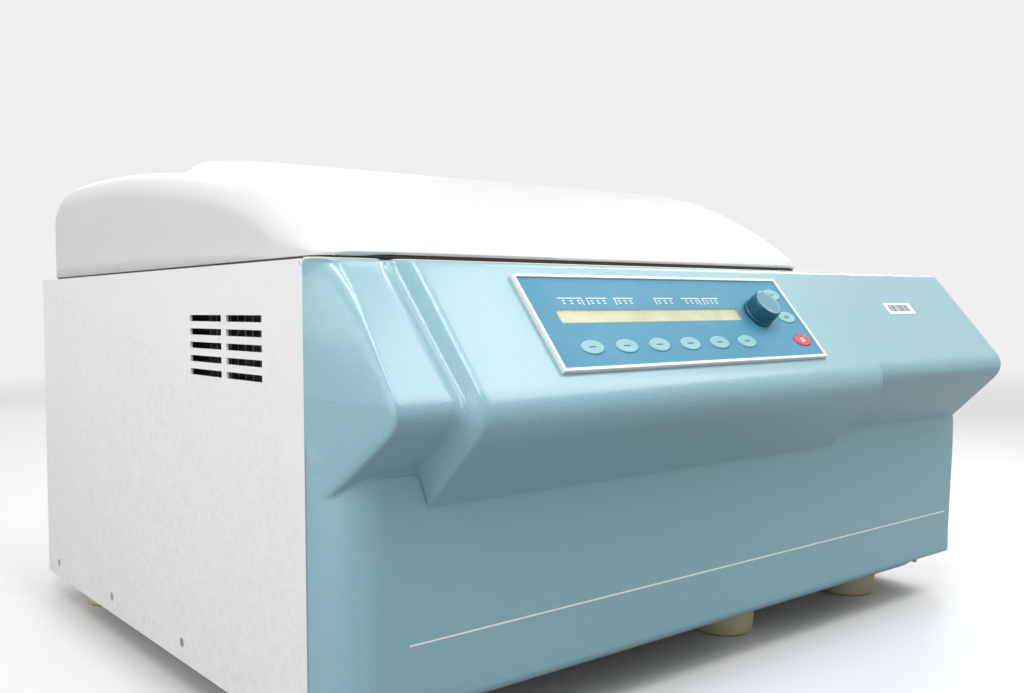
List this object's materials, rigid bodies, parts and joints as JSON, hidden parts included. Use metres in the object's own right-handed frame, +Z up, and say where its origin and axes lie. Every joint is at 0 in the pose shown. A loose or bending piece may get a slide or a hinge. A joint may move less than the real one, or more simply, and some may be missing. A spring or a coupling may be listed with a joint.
{
  "type": "refrigerated bench centrifuge",
  "caption": "Refrigerated bench centrifuge with a hinged domed lid, a sloped control panel, a swing-out rotor in a round chamber and a cooling section beside it.",
  "frame": {"origin": "on the bench, under the centre of the bounding box", "axes": "+X to the operator's right, +Y from the operating face to the rear, +Z up"},
  "size_m": [0.77, 0.706, 0.456],
  "materials": {
    "white_paint": "satin powder coat, light texture",
    "white_moulding": "smooth white moulding",
    "blue_moulding": "pale blue moulding with fine texture",
    "panel_blue": "printed blue membrane",
    "key_aqua": "raised membrane key",
    "key_red": "raised red membrane key",
    "display_clear": "clear window",
    "display_face": "pale yellow display",
    "knob_blue": "dark blue knob",
    "board_green": "circuit board",
    "dark_metal": "dark paint",
    "zinc_steel": "zinc-plated sheet and hardware",
    "stainless": "brushed stainless sheet",
    "polished_steel": "ground and polished steel",
    "cast_alloy": "machined aluminium alloy",
    "copper_winding": "copper tube and winding",
    "black_rubber": "black rubber",
    "cream_rubber": "pale rubber",
    "foam": "rigid insulating foam",
    "black_plastic": "black moulding"
  },
  "bodies": {
    "housing": {"base_plate": "zinc_steel", "left_side_panel": "white_paint", "right_side_panel": "white_paint", "rear_panel": "white_paint", "top_deck": "white_paint", "front_bulkhead": "zinc_steel", "front_fascia": "blue_moulding", "control_bezel": "white_moulding", "control_plate": "panel_blue", "display_window": "display_clear", "display_module": "display_face", "control_board": "board_green", "encoder": "dark_metal", "feet": "cream_rubber", "foot_bolts": "zinc_steel", "panel_screws": "zinc_steel", "chamber_bowl": "stainless", "chamber_insulation": "foam", "refrigerant_lines": "copper_winding", "guard_ring": "dark_metal", "chamber_seal": "black_rubber", "motor_carrier": "dark_metal", "motor_housing": "dark_metal", "motor_stator": "copper_winding", "rubber_mounts": "black_rubber", "compressor": "dark_metal", "condenser": "cast_alloy", "fan_shroud": "dark_metal", "power_unit": "dark_metal", "mains_inlet": "black_plastic", "deck_hinges": "zinc_steel", "lock_housing": "dark_metal", "lid_buffers": "black_rubber", "strut_bracket": "zinc_steel"},
    "lid": {"lid_shell": "white_moulding", "lid_liner": "stainless", "lid_foam": "foam", "lid_hinges": "zinc_steel"},
    "strut_tube": {"strut_tube": "dark_metal"},
    "strut_rod": {"strut_rod": "polished_steel"},
    "rotor": {"rotor_shaft": "polished_steel", "rotor_cross": "cast_alloy", "rotor_nut": "stainless"},
    "bucket_1": {"bucket_1": "cast_alloy"},
    "bucket_2": {"bucket_2": "cast_alloy"},
    "bucket_3": {"bucket_3": "cast_alloy"},
    "bucket_4": {"bucket_4": "cast_alloy"},
    "knob": {"knob": "knob_blue"},
    "rocker": {"rocker": "black_plastic"},
    "lock_bar": {"lock_bar": "zinc_steel"},
    "fan": {"fan_rotor": "black_plastic"},
    "program_key": {"program_key": "key_aqua"},
    "temperature_key": {"temperature_key": "key_aqua"},
    "brake_key": {"brake_key": "key_aqua"},
    "force_key": {"force_key": "key_aqua"},
    "speed_key": {"speed_key": "key_aqua"},
    "time_key": {"time_key": "key_aqua"},
    "open_key": {"open_key": "key_aqua"},
    "start_key": {"start_key": "key_aqua"},
    "stop_key": {"stop_key": "key_red"}
  },
  "joints": [
    {"name": "lid_hinge", "type": "hinge", "parent": "housing", "child": "lid", "pos_m": [-0.1125, 0.346, 0.356], "axis": [-1, 0, 0], "range_deg": [0, 75]},
    {"name": "strut_tube_pivot", "type": "hinge", "parent": "housing", "child": "strut_tube", "pos_m": [-0.355, 0.276, 0.168], "axis": [-1, 0, 0], "range_deg": [0, 37.5]},
    {"name": "strut_rod_pivot", "type": "hinge", "parent": "lid", "child": "strut_rod", "pos_m": [-0.355, 0.146, 0.372], "axis": [-1, 0, 0], "range_deg": [-37.5, 0]},
    {"name": "rotor_spin", "type": "hinge", "parent": "housing", "child": "rotor", "pos_m": [-0.112, 0.04, 0.2], "axis": [0, 0, 1], "continuous": true},
    {"name": "bucket_1_swing", "type": "hinge", "parent": "rotor", "child": "bucket_1", "pos_m": [-0.012, 0.04, 0.262], "axis": [0, -1, 0], "range_deg": [0, 90]},
    {"name": "bucket_2_swing", "type": "hinge", "parent": "rotor", "child": "bucket_2", "pos_m": [-0.112, 0.14, 0.262], "axis": [1, 0, 0], "range_deg": [0, 90]},
    {"name": "bucket_3_swing", "type": "hinge", "parent": "rotor", "child": "bucket_3", "pos_m": [-0.212, 0.04, 0.262], "axis": [0, 1, 0], "range_deg": [0, 90]},
    {"name": "bucket_4_swing", "type": "hinge", "parent": "rotor", "child": "bucket_4", "pos_m": [-0.112, -0.06, 0.262], "axis": [-1, 0, 0], "range_deg": [0, 90]},
    {"name": "knob_turn", "type": "hinge", "parent": "housing", "child": "knob", "pos_m": [0.0195, -0.31322, 0.31089], "axis": [0, -0.7638, 0.6455], "continuous": true},
    {"name": "program_key_press", "type": "slide", "parent": "housing", "child": "program_key", "axis": [0, 0.7638, -0.6455], "range_m": [0, 0.0005]},
    {"name": "temperature_key_press", "type": "slide", "parent": "housing", "child": "temperature_key", "axis": [0, 0.7638, -0.6455], "range_m": [0, 0.0005]},
    {"name": "brake_key_press", "type": "slide", "parent": "housing", "child": "brake_key", "axis": [0, 0.7638, -0.6455], "range_m": [0, 0.0005]},
    {"name": "force_key_press", "type": "slide", "parent": "housing", "child": "force_key", "axis": [0, 0.7638, -0.6455], "range_m": [0, 0.0005]},
    {"name": "speed_key_press", "type": "slide", "parent": "housing", "child": "speed_key", "axis": [0, 0.7638, -0.6455], "range_m": [0, 0.0005]},
    {"name": "time_key_press", "type": "slide", "parent": "housing", "child": "time_key", "axis": [0, 0.7638, -0.6455], "range_m": [0, 0.0005]},
    {"name": "open_key_press", "type": "slide", "parent": "housing", "child": "open_key", "axis": [0, 0.7638, -0.6455], "range_m": [0, 0.0005]},
    {"name": "start_key_press", "type": "slide", "parent": "housing", "child": "start_key", "axis": [0, 0.7638, -0.6455], "range_m": [0, 0.0005]},
    {"name": "stop_key_press", "type": "slide", "parent": "housing", "child": "stop_key", "axis": [0, 0.7638, -0.6455], "range_m": [0, 0.0005]},
    {"name": "rocker_tilt", "type": "hinge", "parent": "housing", "child": "rocker", "pos_m": [-0.276, 0.343, 0.08], "axis": [1, 0, 0], "range_deg": [0, 20]},
    {"name": "lock_slide", "type": "slide", "parent": "housing", "child": "lock_bar", "axis": [1, 0, 0], "range_m": [0, 0.014]},
    {"name": "fan_spin", "type": "hinge", "parent": "housing", "child": "fan", "pos_m": [0.27, 0.28, 0.18], "axis": [0, 1, 0], "continuous": true}
  ],
  "couplings": [
    {"joint": "strut_tube_pivot", "follows": "lid_hinge", "ratio": 0.5},
    {"joint": "strut_rod_pivot", "follows": "lid_hinge", "ratio": -0.5},
    {"joint": "bucket_2_swing", "follows": "bucket_1_swing", "ratio": 1},
    {"joint": "bucket_3_swing", "follows": "bucket_1_swing", "ratio": 1},
    {"joint": "bucket_4_swing", "follows": "bucket_1_swing", "ratio": 1}
  ]
}
